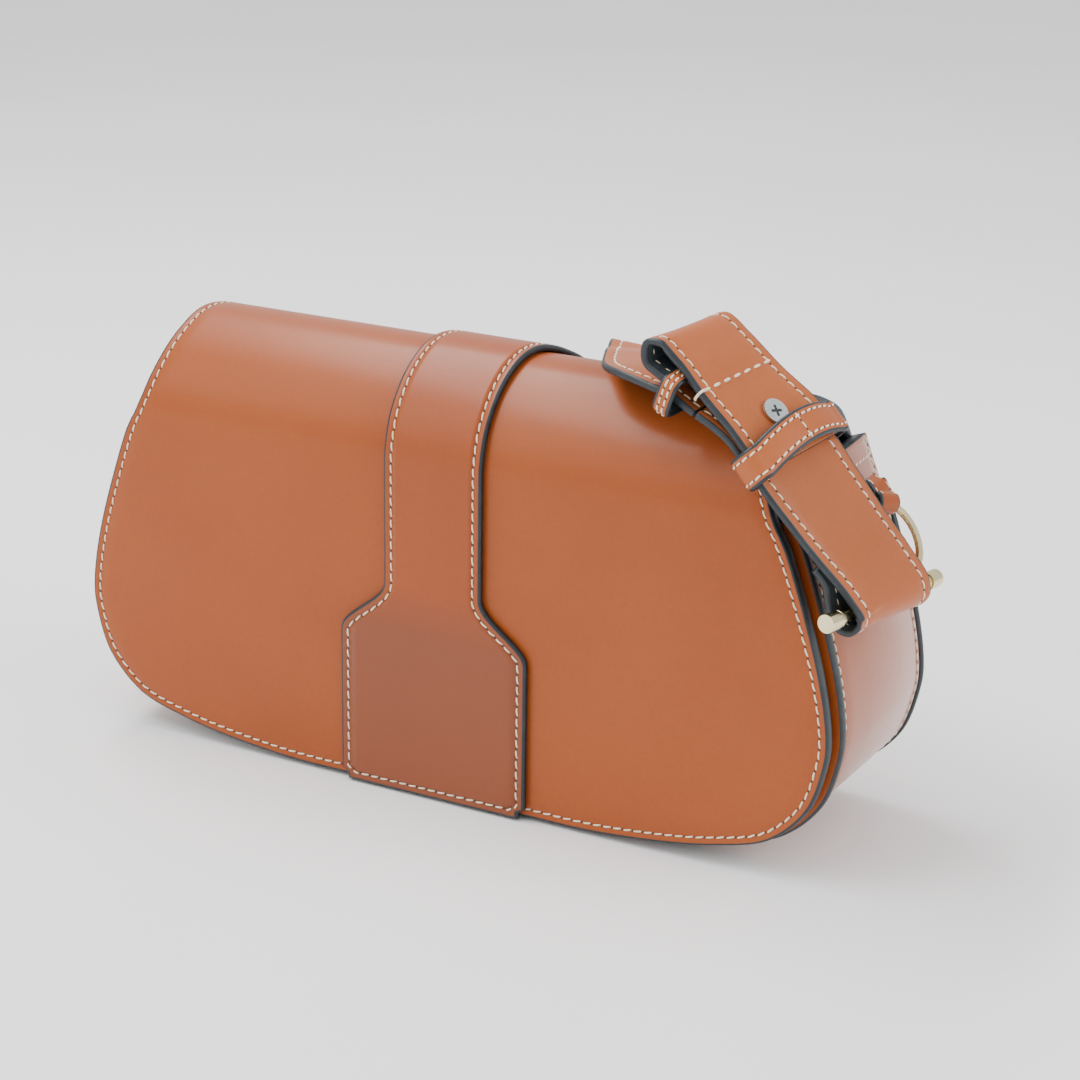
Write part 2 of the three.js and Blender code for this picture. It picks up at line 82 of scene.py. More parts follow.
FLAP_LOW = box_mm("flap_front")[0]
FACE_Y = FLAP_LOW[1]
HEM_Z = FLAP_LOW[2]
PANEL_FRONT = box_mm("front_panel")[0][1]
PANEL_BACK = box_mm("back_panel")[1][1]
MOUTH_TOP = box_mm("front_panel")[1][2] - HEM_Z
BACK_TOP = box_mm("back_panel")[1][2] - HEM_Z
LEATHER = 2.4
FRONT_THICK = 3.4              # the front panel's edge, with the gusset's flange behind it
FLAP_THICK = 3.6               # leather and lining together
STRAP_WIDTH = 35
STRAP_THICK = 2.2
PANEL_GROW = 1.5               # the front panel's edge shows this far past the flap's
SEAM = 2.0                     # from a panel's edge in to the gusset
TAB_RISE = 2.3                 # the centre tab's face stands off the flap's
TAB_THICK = 2.0
GUSSET_TOP = 112               # the gusset's free ends, above the hem
BASE_DROP = 1.2                # the gusset bellies down under the base
GUSSET_CROWN = 3.2             # and bulges out at the sides
STITCH_PITCH = 3.3
THREAD = 0.28                  # radius of the thread
EDGE_INSET = 2.7               # stitch row to sheet edge
STRAP_INSET = 3.6              # stitch row to strap edge
PAINT_REACH = 0.6              # how far the edge paint runs onto a face
HEM_LEVEL = 0.35               # a hem counts as level within this height


def at(x, depth, height):
    """A place from the bag's middle, the flap's face and its hem."""
    return np.array([x, FACE_Y + depth, HEM_Z + height], float)


def unit(v):
    v = np.asarray(v, float)
    return v / max(np.linalg.norm(v), 1e-12)


def smoothstep(x, low, high):
    """Rises smoothly from 0 at low to 1 at high."""
    t = min(max((x - low) / (high - low), 0), 1)
    return t * t * (3 - 2 * t)


# ---- Curves ------------------------------------------------------------------------------------


def spline(points, t):
    """A uniform Catmull-Rom curve through the points, t from 0 to 1."""
    last = len(points) - 1
    p = min(max(t, 0), 1) * last
    i = min(int(p), last)
    w = p - i
    p0, p1 = points[max(i - 1, 0)], points[i]
    p2, p3 = points[min(i + 1, last)], points[min(i + 2, last)]
    v0, v1 = (p2 - p0) / 2, (p3 - p1) / 2
    return (2 * p1 - 2 * p2 + v0 + v1) * w**3 + (3 * p2 - 3 * p1 - 2 * v0 - v1) * w**2 + v0 * w + p1


def route_point(points, t):
    """A centripetal Catmull-Rom curve through the points, t from 0 to 1."""
    last = len(points) - 1
    p = min(max(t, 0), 1) * last
    i = min(int(p), last - 1)
    w = p - i
    p1, p2 = points[i], points[i + 1]
    p0 = points[i - 1] if i > 0 else 2 * p1 - p2
    p3 = points[i + 2] if i + 2 <= last else 2 * p2 - p1
    d0, d1, d2 = (max(np.linalg.norm(b - a), 1e-6) ** 0.5 for a, b in ((p0, p1), (p1, p2), (p2, p3)))
    t1 = ((p1 - p0) / d0 - (p2 - p0) / (d0 + d1) + (p2 - p1) / d1) * d1
    t2 = ((p2 - p1) / d1 - (p3 - p1) / (d1 + d2) + (p3 - p2) / d2) * d1
    return p1 + t1 * w + (3 * p2 - 3 * p1 - 2 * t1 - t2) * w**2 + (2 * p1 - 2 * p2 + t1 + t2) * w**3


def tangent(curve, points, t):
    """The unit direction of a curve at t."""
    low, high = max(t - 1e-4, 0), min(t + 1e-4, 1)
    return unit(curve(points, high) - curve(points, low))


# The flap's right half, (x, height) from the middle of the hem up to the shoulder.
OUTLINE = np.array([
    (0, 0), (28, 0), (52, 0.2), (75, 2.3), (92, 5.3), (108, 10.4), (119.5, 21.5),
    (124.4, 35.5), (124.9, 47), (121.3, 65), (113.5, 89), (104.2, 113), (102.2, 124),
], float)
# The flap's side section over the dome, (depth, height) from the front face to the back panel.
DOME = np.array([
    (0, 100), (0.5, 106.5), (3.2, 115), (9.5, 123.4), (18, 129), (27, 131.2), (37, 130.2),
    (49, 126), (60, 120.3), (67, 112.4), (69.9, 103.5), (70.2, 98),
], float)


def dome_half_width(t):
    """Half the flap's width along the dome: wider at the shoulder and at the rear end."""
    return 99.4 + 9.6 * max(1 - t / 0.36, 0) ** 1.6 + 7 * smoothstep(t, 0.88, 1)


# ---- Meshes ------------------------------------------------------------------------------------


def make_object(name, verts, faces, materials, indices=None, smooth=True):
    """A linked mesh object from vertices in millimetres."""
    mesh = bpy.data.meshes.new(name)
    mesh.from_pydata([tuple(float(c) * MM for c in v) for v in verts], [], faces)
    for m in materials:
        mesh.materials.append(m)
    if indices is not None:
        mesh.polygons.foreach_set("material_index", indices)
    mesh.polygons.foreach_set("use_smooth", [smooth] * len(mesh.polygons))
    mesh.update()
    o = bpy.data.objects.new(name, mesh)
    bpy.context.scene.collection.objects.link(o)
    return o


def edge_section(thick, seam=None, groove=0.28, inner=7.2):
    """Half of a sheet's cross-section from the middle of its edge inward: (inset, drop) pairs."""
    top = [(0, thick * 0.5), (0.1, thick * 0.26), (0.4, 0.1), (0.9, 0)]
    if seam:
        top += [(seam - 0.9, 0), (seam - 0.4, groove * 0.6), (seam, groove), (seam + 0.4, groove * 0.6)]
        top += [(seam + 0.9, 0)] if inner > seam + 1 else []
    top += [(inner, 0)]
    under = [(0.1, thick * 0.74), (0.4, thick - 0.1), (0.9, thick), (inner, thick)]
    return top, under


class Border:
    """The right half of a sheet's edge, from the middle of the hem: places, inward and up directions."""

    def __init__(self, corner=None):
        self.place, self.inward, self.up = [], [], []
        self.corner = corner   # (x, z) of a square lower corner, where insets meet in a mitre

    def add(self, place, inward, up):
        self.place.append(np.asarray(place, float))
        self.inward.append(unit(inward))
        self.up.append(unit(up))

    def point(self, k, inset, drop):
        """A place inside the edge and below the face; a negative k is the left half's mirror."""
        i = abs(k)
        p = self.place[i] + self.inward[i] * inset - self.up[i] * drop
        if self.corner:
            p[2] = max(p[2], self.corner[1] + inset)
            if self.inward[i][2] > 0.5:
                p[0] = min(p[0], self.corner[0] - inset)
        return p * ((-1, 1, 1) if k < 0 else (1, 1, 1))

    def normal(self, k):
        return self.up[abs(k)] * ((-1, 1, 1) if k < 0 else (1, 1, 1))


def flat_border(points, plane_y, facing, border=None):
    """Adds a flat stretch: points are (x, height) from the middle of the hem outward and up."""
    border = border or Border()
    for i, p in enumerate(points):
        a, b = points[max(i - 1, 0)], points[min(i + 1, len(points) - 1)]
        along = unit([b[0] - a[0], b[1] - a[1]])
        inward = (0, 0, 1) if i == 0 else (-along[1], 0, along[0])
        border.add((p[0], plane_y, HEM_Z + p[1]), inward, (0, facing, 0))
    return border


def dome_border(border, half_width, rise, t0, t1, steps):
    """Adds the stretch over the dome, raised above it by rise(t)."""
    for i in range(steps + 1):
        t = t0 + (t1 - t0) * i / steps
        q, along = spline(DOME, t), tangent(spline, DOME, t)
        out = np.array([-along[1], along[0]])
        q = q + out * rise(t)
        border.add(at(half_width(t), q[0], q[1]), (-1, 0, 0), (0, out[0], out[1]))
    return border


def outline_points(grow, top, steps=120, low=None):
    """Points of the outline grown outward, from the middle of the hem up to a height."""
    found = []
    for i in range(steps + 1):
        t = i / steps
        p, along = spline(OUTLINE, t), tangent(spline, OUTLINE, t)
        x, z = p[0] + along[1] * grow, p[1] - along[0] * grow
        if low is not None:
            z = max(z, low)
        if z >= top:
            break
        if i and (x <= found[-1][0] + 0.4 and z <= found[-1][1] + 0.4):
            continue
        found.append((x if i else 0.0, z))
    a = found[-1]
    if top - a[1] > 0.5:
        found.append((a[0] + (x - a[0]) * (top - a[1]) / (z - a[1]), top))
    return found


def sheet(name, border, thick, face, edge, under=None, seam=EDGE_INSET, hem_columns=None, inner=7.2):
    """A closed leather sheet inside a border, with rounded edges and a pressed seam line."""
    top, low = edge_section(thick, seam, inner=inner)
    n = len(border.place) - 1
    level = [k for k in range(n) if border.place[k][2] - border.place[0][2] < HEM_LEVEL or k <= 1]
    hem = hem_columns or max(level)
    verts, faces, indices = [], [], []

    def put(p):
        verts.append(p)
        return len(verts) - 1

    edge_mid = {k: put(border.point(k, *top[0])) for k in range(-n, n + 1)}
    ends = []
    for side, section in ((0, top[1:]), (1, low)):
        cols = {k: [edge_mid[k]] + [put(border.point(k, *s)) for s in section] for k in range(-n, n + 1)}

        def quad(a, b, c, d, material):
            faces.append((a, b, c, d) if side == 0 else (d, c, b, a))
            indices.append(material)

        insets = [0] + [s[0] for s in section]
        for k in range(-n, n):
            for c in range(len(section)):
                material = 1 if insets[c] < PAINT_REACH else 2 * side
                quad(cols[k][c], cols[k + 1][c], cols[k + 1][c + 1], cols[k][c + 1], material)
        row = [cols[k][-1] for k in range(-hem, hem + 1)]
        x0 = verts[row[-1]][0]
        shares = [verts[i][0] / x0 for i in row]
        for k in range(hem + 1, n + 1):
            right = np.asarray(verts[cols[k][-1]])
            if border.corner and np.linalg.norm(right - verts[row[-1]]) < 0.05:
                continue
            inner = [put(right * (s, 1, 1)) for s in shares[1:-1]]
            above = [cols[-k][-1]] + inner + [cols[k][-1]]
            for j in range(len(row) - 1):
                quad(row[j], row[j + 1], above[j + 1], above[j], 2 * side)
            row = above
        ends.append(cols[-n][:-1] + row + cols[n][:-1][::-1])
    a, b = ends
    head, tail = len(top[1:]), len(low)
    upper, lower = a[head:-head], b[tail:-tail]
    for j in range(len(upper) - 1):
        faces.append((upper[j], upper[j + 1], lower[j + 1], lower[j]))
        indices.append(1)
    for pick in (0, -1):
        loop_top = a[:head + 1] if pick == 0 else a[-head - 1:][::-1]
        loop_low = b[:tail + 1] if pick == 0 else b[-tail - 1:][::-1]
        ring = loop_top + loop_low[1:][::-1]
        faces.append(tuple(ring) if pick == 0 else tuple(ring[::-1]))
        indices.append(1)
    o = make_object(name, verts, faces, [face, edge, under or face], indices)
    outward(o)
    return o


def border_row(border, inset):
    """A stitch path along a sheet's border: (place, normal) pairs."""
    n = len(border.place) - 1
    return [(border.point(k, inset, 0), border.normal(k)) for k in range(-n, n + 1)]


class Strip:
    """A long flat strap: frames along a route, each with its top's middle, side and up directions."""

    def __init__(self, width, thick):
        self.width, self.thick = width, thick
        self.place, self.side, self.up, self.crown = [], [], [], []

    def add(self, place, side, up, crown=0.0):
        self.place.append(np.asarray(place, float))
        self.side.append(unit(side))
        self.up.append(unit(up))
        self.crown.append(crown)

    def point(self, i, across, drop):
        """across runs from -1 to 1 over the width."""
        rise = self.crown[i] * (1 - across * across)
        return self.place[i] + self.side[i] * across * self.width / 2 + self.up[i] * (rise - drop)

    def row(self, across_mm, under=False, last=None):
        """A stitch path along the strip: (place, normal) pairs."""
        sign = -1 if under else 1
        drop = self.thick if under else 0
        share = across_mm / (self.width / 2)
        return [(self.point(i, share, drop), self.up[i] * sign) for i in range(len(self.place))[:last]]


def strip_route(stops, width=STRAP_WIDTH, thick=STRAP_THICK, steps=160):
    """A strip along a smooth route; each stop is a place and the direction across the strap."""
    places = [s[0] for s in stops]
    acrosses = [s[1] for s in stops]
    made = Strip(width, thick)
    for i in range(steps + 1):
        t = i / steps
        along = tangent(route_point, places, t)
        side = route_point(acrosses, t)
        side = unit(side - along * side.dot(along))
        made.add(route_point(places, t), side, np.cross(along, side))
    return made


def strip_object(name, s, face, edge, seam=STRAP_INSET, middle=7, closed=False, under=None):
    """A closed mesh of a strip, with rounded painted edges and a pressed seam line."""
    half = s.width / 2
    top, low = edge_section(s.thick, seam)
    limit = half * 0.55
    top = [p for p in top if p[0] < limit] + [(limit, 0)]
    low = [p for p in low if p[0] < limit] + [(limit, s.thick)]
    section = [(-1 + p[0] / half, p[1]) for p in top]
    inner = np.linspace(-1 + limit / half, 1 - limit / half, middle)[1:-1]
    section += [(x, 0) for x in inner] + [(1 - p[0] / half, p[1]) for p in reversed(top)]
    paint = [p[0] < PAINT_REACH for p in top[:-1]]
    flags = paint + [False] * (middle - 1) + paint[::-1]
    section += [(1 - p[0] / half, p[1]) for p in low]
    section += [(x, s.thick) for x in inner[::-1]] + [(-1 + p[0] / half, p[1]) for p in reversed(low)]
    low_paint = [True] + [p[0] < PAINT_REACH for p in low[:-1]]
    flags += low_paint + [False] * (middle - 1) + low_paint[::-1]
    n, m = len(s.place), len(section)
    verts = [s.point(i, *p) for i in range(n) for p in section]
    half_way = len(top) * 2 + len(inner)
    faces, indices = [], []
    for i in range(n if closed else n - 1):
        a, b = i * m, ((i + 1) % n) * m
        for j in range(m):
            k = (j + 1) % m
            faces.append((a + j, a + k, b + k, b + j))
            indices.append(1 if flags[j % len(flags)] else (0 if j < half_way else 2))
    if not closed:
        for i, ring in ((0, range(m)), ((n - 1) * m, range(m))):
            loop = [i + j for j in ring]
            faces.append(tuple(loop[::-1] if i == 0 else loop))
            indices.append(1)
    o = make_object(name, verts, faces, [face, edge, under or face], indices)
    outward(o)
    return o


def outward(o):
    """Turns the faces of a closed mesh to point out."""
    bm = bmesh.new()
    bm.from_mesh(o.data)
    bmesh.ops.remove_doubles(bm, verts=bm.verts, dist=0.004 * MM)
    bmesh.ops.recalc_face_normals(bm, faces=bm.faces)
    bm.to_mesh(o.data)
    bm.free()


# ---- Stitches ----------------------------------------------------------------------------------


def thread_template(length, radius):
    """One stitch along +X, arched out of the leather: its vertices and faces."""
    rings, sides = 7, 8
    verts, faces = [], []
    for i in range(rings):
        s = -1 + 2 * i / (rings - 1)
        arch = 1 - s * s
        r = radius * (0.62 + 0.38 * math.sqrt(max(arch, 0)))
        for j in range(sides):
            a = 2 * math.pi * j / sides
            height = math.sin(a) * r * 0.85 + radius * (1.15 * arch - 0.75)
            verts.append((s * length / 2, math.cos(a) * r, height))
    for i in range(rings - 1):
        for j in range(sides):
            k = (j + 1) % sides
            faces.append((i * sides + j, (i + 1) * sides + j, (i + 1) * sides + k, i * sides + k))
    faces.append(tuple(range(sides)))
    faces.append(tuple((rings - 1) * sides + j for j in reversed(range(sides))))
    return np.array(verts), faces


def resample(path, pitch):
    """Places and normals along a path at an even pitch."""
    places = np.array([p for p, _ in path])
    normals = np.array([n for _, n in path])
    lengths = np.linalg.norm(np.diff(places, axis=0), axis=1)
    run = np.concatenate([[0], np.cumsum(lengths)])
    count = max(int(run[-1] / pitch), 1)
    pitch = run[-1] / count
    out = []
    for c in range(count):
        low, mid, high = (c * pitch, (c + 0.5) * pitch, (c + 1) * pitch)
        a, m, b = (np.array([np.interp(d, run, places[:, x]) for x in range(3)]) for d in (low, mid, high))
        n = unit([np.interp(mid, run, normals[:, x]) for x in range(3)])
        out.append((a, m, b, n))
    return out


def stitches(name, paths, body=None, pitch=STITCH_PITCH, radius=THREAD, sink=0.16, slant=0.13):
    """Thread stitches along paths, each in its own pressed hole pair with a dark disc painted as shade in the
    hole; one mesh.
    """
    template, faces = thread_template(1.0, 1.0)
    hole = np.array([(math.cos(a), math.sin(a)) for a in np.linspace(0, 2 * math.pi, 9)[:-1]])
    all_verts, all_faces, indices = [], [], []
    base = 0
    for path in paths:
        for a, m, b, n in resample(path, pitch):
            along = unit(b - a)
            side = unit(np.cross(n, along))
            turn = slant + random.uniform(-0.05, 0.05)
            way = along * math.cos(turn) + side * math.sin(turn)
            cross = np.cross(n, way)
            length = np.linalg.norm(b - a) * random.uniform(0.8, 0.86)
            r = radius * random.uniform(0.94, 1.06)
            centre = m - n * sink
            scaled = template * (length, r, r)
            all_verts.append(centre + scaled[:, :1] * way + scaled[:, 1:2] * cross + scaled[:, 2:] * n)
            all_faces += [tuple(base + i for i in f) for f in faces]
            indices += [0] * len(faces)
            base += len(template)
            # A flat dark disc at the stitch's hole: painted shade inside the hole.
            spot = a - n * (sink - 0.05) if sink > 0.1 else a + n * 0.03
            all_verts.append(spot + hole[:, :1] * way * 0.42 + hole[:, 1:] * cross * 0.3)
            all_faces.append(tuple(base + i for i in range(8)))
            indices.append(1)
            base += 8
    o = make_object(name, np.concatenate(all_verts), all_faces, [THREAD_MAT, HOLE_SHADE_MAT], indices)
    if body:
        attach(o, body)
    return o


# ---- Materials ---------------------------------------------------------------------------------


def material(name):
    """A node material, with small makers for its nodes."""
    m = bpy.data.materials.new(name)
    m.use_nodes = True
    nodes = m.node_tree.nodes
    links = m.node_tree.links
    shader = nodes["Principled BSDF"]
    place = nodes.new("ShaderNodeTexCoord").outputs["Object"]

    def node(kind, inputs=None, **settings):
        made = nodes.new(kind)
        for k, v in settings.items():
            setattr(made, k, v)
        for k, v in (inputs or {}).items():
            if hasattr(v, "node"):
                links.new(v, made.inputs[k])
            else:
                made.inputs[k].default_value = v
        return made

    def noise(scale, detail=4.0, rough=0.5):
        return node("ShaderNodeTexNoise",
                    {"Vector": place, "Scale": scale, "Detail": detail, "Roughness": rough})

    return m, shader, node, noise, links, place


def ramp(node, value, low, high, stops):
    """Two colours blended over a value's range."""
    made = node("ShaderNodeValToRGB", {"Fac": value})
    made.color_ramp.elements[0].position, made.color_ramp.elements[1].position = low, high
    for e, c in zip(made.color_ramp.elements, stops):
        e.color = (*c, 1)
    return made.outputs["Color"]


def leather(name, dark, light, rough=0.36, coat=0.22, low_tint=False, specular=0.26):
    """Smooth vegetable-tanned leather: clouded colour, fine specks, pores and a soft grain."""
    m, shader, node, noise, links, place = material(name)
    cloud = ramp(node, noise(14, 5, 0.55).outputs["Fac"], 0.3, 0.72, (dark, light))
    wide = noise(24, 3).outputs["Fac"]
    mix = node("ShaderNodeMix", {0: wide, 6: cloud, 7: (*light, 1)}, data_type="RGBA")
    fine = noise(900, 3, 0.6).outputs["Fac"]
    speck = node("ShaderNodeMix", {0: 0.12, 6: mix.outputs[2]}, data_type="RGBA", blend_type="MULTIPLY")
    links.new(ramp(node, fine, 0.35, 0.62, ((0.55, 0.5, 0.48), (1, 1, 1))), speck.inputs[7])
    colour = speck.outputs[2]
    if low_tint:
        height = node("ShaderNodeSeparateXYZ", {0: place}).outputs["Z"]
        share = node("ShaderNodeMapRange", {"Value": height, 1: 0.052, 2: 0.066, 3: 0.62, 4: 0.0})
        tint = {0: share.outputs[0], 6: colour, 7: (0.17, 0.055, 0.03, 1)}
        colour = node("ShaderNodeMix", tint, data_type="RGBA").outputs[2]
    links.new(colour, shader.inputs["Base Color"])
    patchy = noise(60, 5).outputs["Fac"]
    rough_map = node("ShaderNodeMapRange", {"Value": patchy, 3: rough - 0.05, 4: rough + 0.07})
    links.new(rough_map.outputs[0], shader.inputs["Roughness"])
    shader.inputs["Coat Weight"].default_value = coat
    shader.inputs["Coat Roughness"].default_value = 0.18
    shader.inputs["IOR"].default_value = 1.42
    shader.inputs["Specular IOR Level"].default_value = specular
    pores = node("ShaderNodeTexVoronoi", {"Vector": place, "Scale": 1400.0}, feature="DISTANCE_TO_EDGE")
    grain = node("ShaderNodeBump",
                 {"Height": pores.outputs["Distance"], "Strength": 0.05, "Distance": 0.0002})
    soft = node("ShaderNodeBump", {"Height": noise(220, 6, 0.6).outputs["Fac"], "Strength": 0.07,
                                   "Distance": 0.0006, "Normal": grain.outputs[0]})
    links.new(soft.outputs[0], shader.inputs["Normal"])
    return m


def simple(name, low, high, scale, rough=(0.4, 0.5), metal=0.0, bump=0.1):
    """A material of one noisy colour, with uneven roughness and a fine bump."""
    m, shader, node, noise, links, _ = material(name)
    colour = ramp(node, noise(scale, 6.0).outputs["Fac"], 0.35, 0.65, (low, high))
    links.new(colour, shader.inputs["Base Color"])
    patchy = noise(scale * 0.4, 5).outputs["Fac"]
    rough_map = node("ShaderNodeMapRange", {"Value": patchy, 3: rough[0], 4: rough[1]})
    links.new(rough_map.outputs[0], shader.inputs["Roughness"])
    shader.inputs["Metallic"].default_value = metal
    fine = noise(scale * 1.5, 6).outputs["Fac"]
    made = node("ShaderNodeBump", {"Height": fine, "Strength": bump, "Distance": 0.0002})
    links.new(made.outputs[0], shader.inputs["Normal"])
    return m


TAN = leather("tan_leather", (0.27, 0.056, 0.0115), (0.335, 0.076, 0.0165), rough=0.36, coat=0.08)
TAN_TAB = leather("tab_leather", (0.26, 0.055, 0.0135), (0.325, 0.073, 0.019), rough=0.36, coat=0.08,
                  low_tint=True)
TAN_STRAP = leather("strap_leather", (0.3, 0.074, 0.02), (0.42, 0.11, 0.032), rough=0.42, coat=0.05)
TAN_GUSSET = leather("gusset_leather", (0.27, 0.066, 0.022), (0.34, 0.088, 0.031), rough=0.3, coat=0.6,
                     specular=0.5)
EDGE = simple("edge_paint", (0.006, 0.011, 0.015), (0.012, 0.02, 0.026), 300, rough=(0.42, 0.55), bump=0.15)
FLESH = simple("dark_lining", (0.02, 0.028, 0.034), (0.034, 0.045, 0.052), 900, rough=(0.75, 0.9), bump=0.4)
THREAD_MAT = simple("thread", (0.72, 0.6, 0.42), (0.86, 0.76, 0.58), 2500, rough=(0.6, 0.75), bump=0.5)
# Dark discs painted as shade in the stitch holes.
HOLE_SHADE_MAT = simple("stitch_hole_shade", (0.06, 0.025, 0.012), (0.1, 0.04, 0.02), 800, rough=(0.8, 0.9))
BRASS = simple("pale_brass", (0.68, 0.56, 0.3), (0.76, 0.66, 0.4), 120, rough=(0.16, 0.28), metal=1.0,
               bump=0.03)
STEEL = simple("nickel_steel", (0.5, 0.54, 0.55), (0.62, 0.66, 0.66), 200, rough=(0.22, 0.34), metal=1.0,
               bump=0.05)

# Near-black painted shade filling the screw head's cross recess.
RECESS = simple("recess_shadow", (0.018, 0.019, 0.02), (0.04, 0.041, 0.043), 400, rough=(0.5, 0.6),
                metal=0.5)


def leather_piece(o, body=None, stands_for=()):
    """Gives a piece its body and the CAD nodes that it stands for."""
    if body:
        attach(o, body)
    if stands_for:
        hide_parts(*stands_for)
    return o


# ---- Flap and centre tab -----------------------------------------------------------------------
REAR_LAP = 3.7                 # the flap's rear end lies over the back panel
FLAT_TOP = 97                  # the flat front ends and the dome begins
TAB_NECK = 16.4                # half the centre tab's width above its shoulders


def bends(o):
    """Bakes the piece's placement into its mesh."""
    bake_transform(o)
    return o


def rear_rise(t):
    """How far a sheet stands off the dome, where its rear end clears the back panel."""
    return REAR_LAP * smoothstep(t, 0.78, 0.97)


def flap_border():
    """The flap's edge: round the front, over the dome and down over the back panel."""
    border = flat_border(outline_points(0, FLAT_TOP), FACE_Y, -1)
    dome_border(border, dome_half_width, rear_rise, 0.012, 0.992, 74)
    depth = DOME[-1][0] + REAR_LAP
    for drop in (1.5, 3, 4.5, 6, 7.5, 9):
        border.add(at(dome_half_width(1), depth, 98.3 - drop), (-1, 0, 0), (0, 1, 0))
    return border


flap_edge = flap_border()
flap = sheet("flap_leather", flap_edge, FLAP_THICK, TAN, EDGE, FLESH)
bends(leather_piece(flap, stands_for=("flap_front", "flap_top", "flap_lining")))
rear = len(flap_edge.place) - 3
rear_row = [(flap_edge.point(rear, 0, 0) * (s, 1, 1), flap_edge.normal(rear))
            for s in np.linspace(-0.95, 0.95, 40)]
bends(stitches("flap_stitches", [border_row(flap_edge, EDGE_INSET), rear_row]))


def tab_half_width(height):
    """Half the centre tab's width: wide at the hem, narrow above the shoulders."""
    wide = 31.6 - 2.2 * (1 - smoothstep(height, -0.4, 3))
    return wide + (TAB_NECK - wide) * smoothstep(height, 48, 65)


def tab_border():
    """The centre tab's edge, a little above the flap's face."""
    low = -0.4
    bottom = tab_half_width(low)
    points = [(bottom * i / 10, low) for i in range(11)]
    points += [(tab_half_width(h), h) for h in np.linspace(low + 0.6, FLAT_TOP, 66)]
    border = flat_border(points, FACE_Y - TAB_RISE, -1, Border((bottom, HEM_Z + low)))
    return dome_border(border, lambda t: TAB_NECK, lambda t: TAB_RISE + rear_rise(t), 0.012, 0.985, 70)


tab_edge = tab_border()
tab = sheet("centre_tab_leather", tab_edge, TAB_THICK, TAN_TAB, EDGE, FLESH, hem_columns=10, inner=3.15)
bends(leather_piece(tab, stands_for=("centre_tab_front", "centre_tab_top")))
bends(stitches("centre_tab_stitches", [border_row(tab_edge, EDGE_INSET)]))

# ---- Body ----------------------------------------------------------------------------------------


def body_panel(name, plane_y, facing, top, nodes, mat=TAN, grow=PANEL_GROW, thick=LEATHER, low=None,
               seam=None, under=FLESH):
    """A flat panel or lining of the body, up to the height top."""
    border = flat_border(outline_points(grow, top, low=low), plane_y, facing)
    o = sheet(name, border, thick, mat, EDGE, under, seam=seam)
    leather_piece(o, "bag", nodes)
    if seam:
        stitches(name + "_stitches", [border_row(border, seam)], "bag")


body_panel("front_panel_leather", PANEL_FRONT, -1, MOUTH_TOP, ("front_panel",), thick=FRONT_THICK, seam=5.8)
body_panel("back_panel_leather", PANEL_BACK, 1, BACK_TOP, ("back_panel",), grow=PANEL_GROW - SEAM + 0.7,
           seam=3.4, under=TAN)
for side, node in (("front", "front_lining"), ("back", "back_lining")):
    low, high = box_mm(node)
    plane, facing = (high[1], 1) if side == "front" else (low[1], -1)
    body_panel(node + "_suede", plane, facing, high[2] - HEM_Z, (node,), mat=FLESH,
               grow=PANEL_GROW - SEAM - LEATHER - 2, thick=high[1] - low[1], low=5)


def gusset():
    """The gusset strip, from the left side's free end under the base to the right side's."""
    y0, y1 = PANEL_FRONT + FRONT_THICK, PANEL_BACK - LEATHER
    made = Strip(y1 - y0, LEATHER)
    right = []
    points = outline_points(PANEL_GROW - SEAM, GUSSET_TOP)
    for i, (x, z) in enumerate(points):
        a, b = points[max(i - 1, 0)], points[min(i + 1, len(points) - 1)]
        along = unit([b[0] - a[0], b[1] - a[1]])
        out = np.array([along[1], 0, -along[0]]) if i else np.array([0, 0, -1.0])
        low = 1 - smoothstep(z, 1, 9)
        place = (x, (y0 + y1) / 2, z + HEM_Z - BASE_DROP * low)
        right.append((place, out, GUSSET_CROWN * smoothstep(z, 10, 60)))
    for (x, y, z), out, crown in right[:0:-1]:
        made.add((-x, y, z), (0, 1, 0), out * (-1, 1, 1), crown)
    for place, out, crown in right:
        made.add(place, (0, 1, 0), out, crown)
    return made


GUSSET_INSET = 2.6             # stitch row to gusset edge
HEM_FRAMES = 4                 # frames of the strip that its turned hem covers
HEM_THICK = 4.6
gusset_strip = gusset()
gusset_piece = strip_object("gusset_leather", gusset_strip, TAN_GUSSET, EDGE, seam=GUSSET_INSET, middle=15,
                            under=FLESH)
leather_piece(gusset_piece, "bag", ("base_gusset", "left_gusset", "right_gusset"))
gusset_end = len(gusset_strip.place)
for side, picks in (("left", range(HEM_FRAMES)), ("right", range(gusset_end - HEM_FRAMES, gusset_end))):
    hem = Strip(gusset_strip.width - 0.6, HEM_THICK)
    for i in picks:
        up = gusset_strip.up[i]
        hem.add(gusset_strip.place[i] - up * 0.5, gusset_strip.side[i], up, gusset_strip.crown[i])
    o = strip_object(side + "_gusset_hem", hem, TAN_GUSSET, EDGE, seam=None, middle=15, under=FLESH)
    leather_piece(o, "bag")
gusset_row = gusset_strip.width / 2 - GUSSET_INSET
cross_rows = [[(gusset_strip.point(i, a, 0), gusset_strip.up[i]) for a in np.linspace(-0.93, 0.93, 30)]
              for i in (HEM_FRAMES - 1, gusset_end - HEM_FRAMES)]
stitches("gusset_stitches", [gusset_strip.row(gusset_row), gusset_strip.row(-gusset_row)] + cross_rows, "bag")

# ---- Straps ----------------------------------------------------------------------------------------
CLEAR = np.array([1.3, 0, 1.3])
BAR_RADIUS = 1.9
WRAP = BAR_RADIUS + STRAP_THICK + 0.9        # the strap's outer face round a toggle bar
RIGHT_BAR_X, RIGHT_BAR_DEPTH, RIGHT_BAR_HEIGHT = 131.4, 16.2, 81.6


def stop(x, depth, height, *across):
    """A place on a strap's route, and the direction across the strap there."""
    return at(x, depth, height), np.array(across, float)


def raised(stops):
    """Stops lifted clear of the flap, as in the CAD frame."""
    return [(p + CLEAR, a) for p, a in stops]


